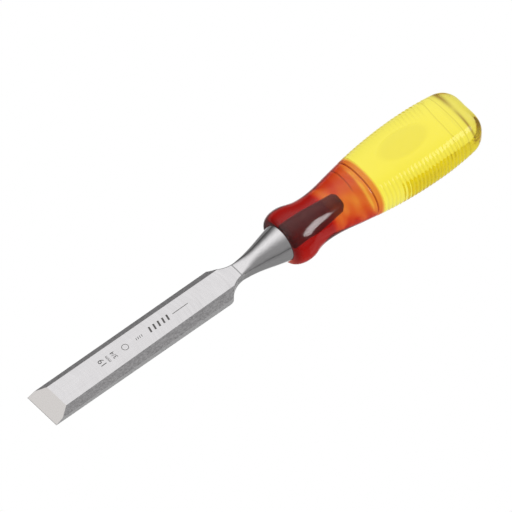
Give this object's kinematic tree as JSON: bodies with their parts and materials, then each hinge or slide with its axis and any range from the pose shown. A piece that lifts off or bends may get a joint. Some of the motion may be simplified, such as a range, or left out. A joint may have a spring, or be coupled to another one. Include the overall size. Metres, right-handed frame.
{
  "type": "bench chisel",
  "caption": "Bevel-edge bench chisel with a conical bolster, a tang and a clear two-colour moulded handle with ribbed flanks.",
  "frame": {"origin": "middle of the cutting edge, on the plane of the blade's flat back", "axes": "+X up the tool from the cutting edge to the butt, +Z out of the bevelled side, Y across the blade's width"},
  "size_m": [0.238, 0.0335, 0.0234],
  "materials": {
    "blade_steel": "ground and polished",
    "collar_plastic": "clear, polished",
    "grip_plastic": "clear, polished"
  },
  "bodies": {
    "root": {"blade": "blade_steel", "handle_collar": "collar_plastic", "handle_grip": "grip_plastic"}
  },
  "joints": []
}
